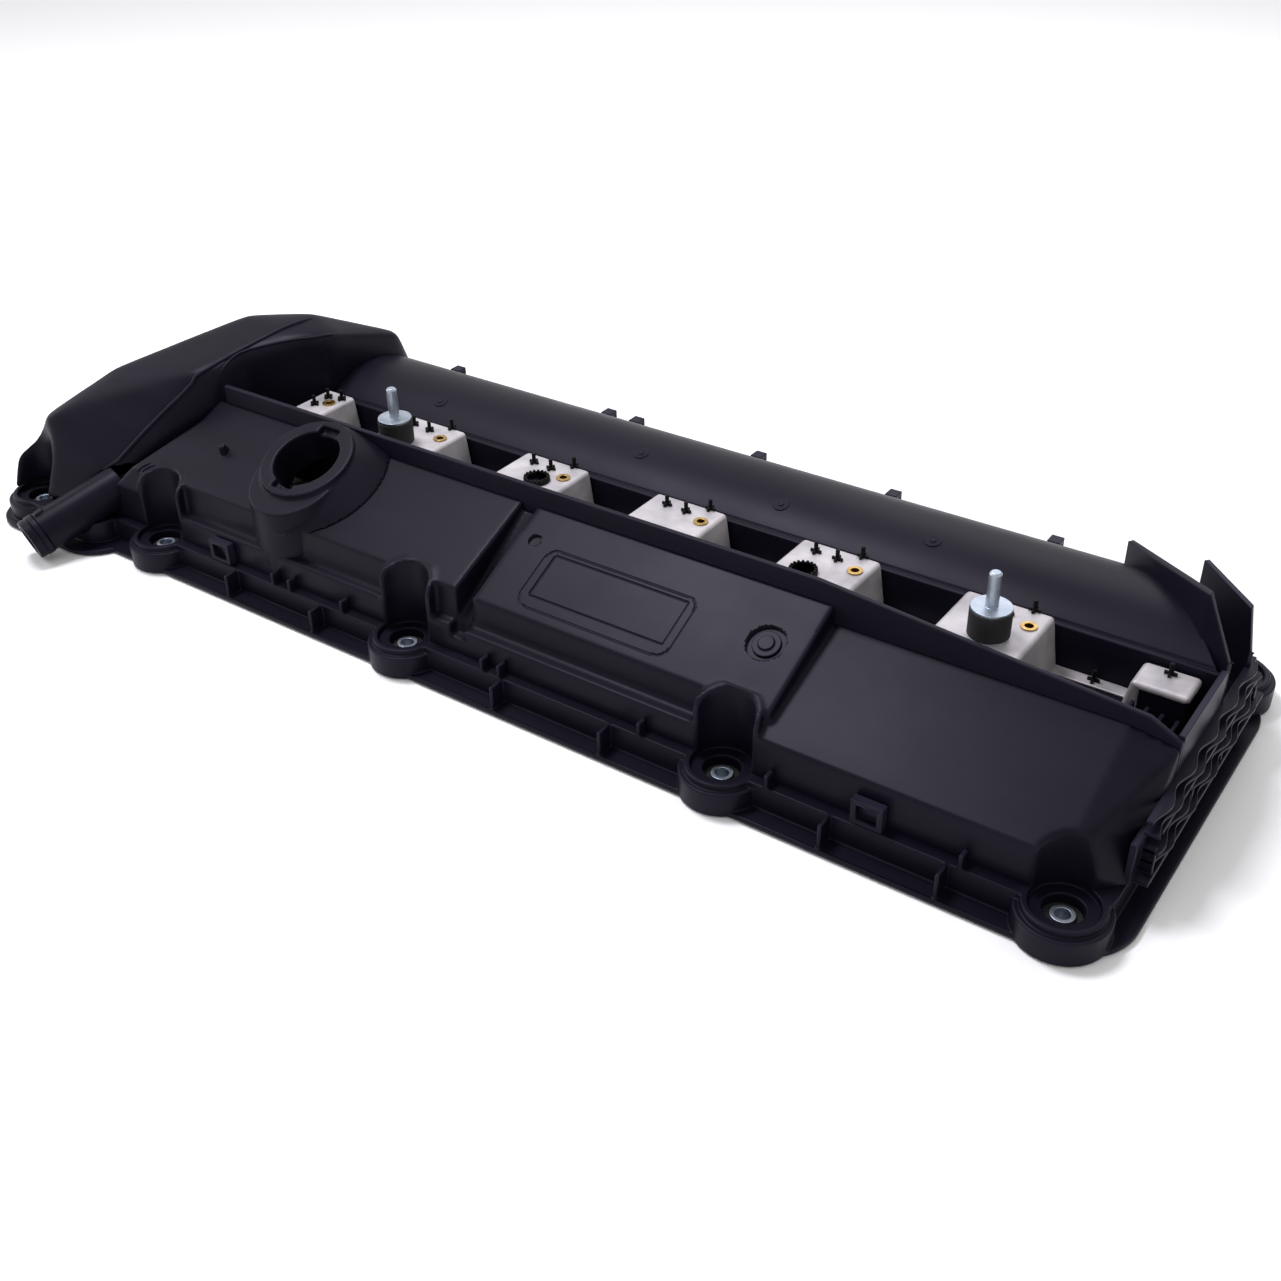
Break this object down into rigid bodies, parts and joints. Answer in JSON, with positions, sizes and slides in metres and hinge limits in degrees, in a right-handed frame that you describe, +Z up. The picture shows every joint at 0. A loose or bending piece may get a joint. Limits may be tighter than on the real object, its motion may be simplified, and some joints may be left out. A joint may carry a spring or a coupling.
{
  "type": "cam cover",
  "caption": "Long moulded cam cover for an inline engine, with a tilted bayonet filler neck, a coil valley under a pressed earth plate, and a flange with sleeved bolt bosses.",
  "frame": {"origin": "axis of the first plug well, on the joint face", "axes": "+X from the timing end to the rear end, -Y towards the filler side, +Z up, away from the head"},
  "size_m": [0.726, 0.2907, 0.1065],
  "materials": {
    "moulding": "satin, charcoal, fine moulded grain",
    "earth_sheet": "matte pressed sheet",
    "insert_brass": "turned",
    "pin_plastic": "matte black",
    "buffer_rubber": "matte",
    "zinc_steel": "zinc plated",
    "seal_rubber": "matte",
    "baffle_plastic": "matte"
  },
  "bodies": {
    "root": {"joint_flange": "moulding", "filler_chamber": "moulding", "rear_chamber": "moulding", "socket_pockets": "moulding", "filler_neck": "moulding", "coil_valley": "moulding", "valley_rim": "moulding", "coil_seats": "moulding", "exhaust_chamber": "moulding", "timing_housing": "moulding", "breather_nozzle": "moulding", "rear_fins": "moulding", "rear_wall": "moulding", "clip_boxes": "moulding", "duct_hooks": "moulding", "earth_plate": "earth_sheet", "earth_inserts": "insert_brass", "plate_pins": "pin_plastic", "duct_sockets": "pin_plastic", "buffer_rubbers": "buffer_rubber", "buffer_feet": "zinc_steel", "buffer_studs": "zinc_steel", "perimeter_gasket": "seal_rubber", "bolt_grommets": "seal_rubber", "bolt_sleeves": "zinc_steel", "oil_baffle": "baffle_plastic", "well_seal": "seal_rubber"}
  },
  "joints": []
}
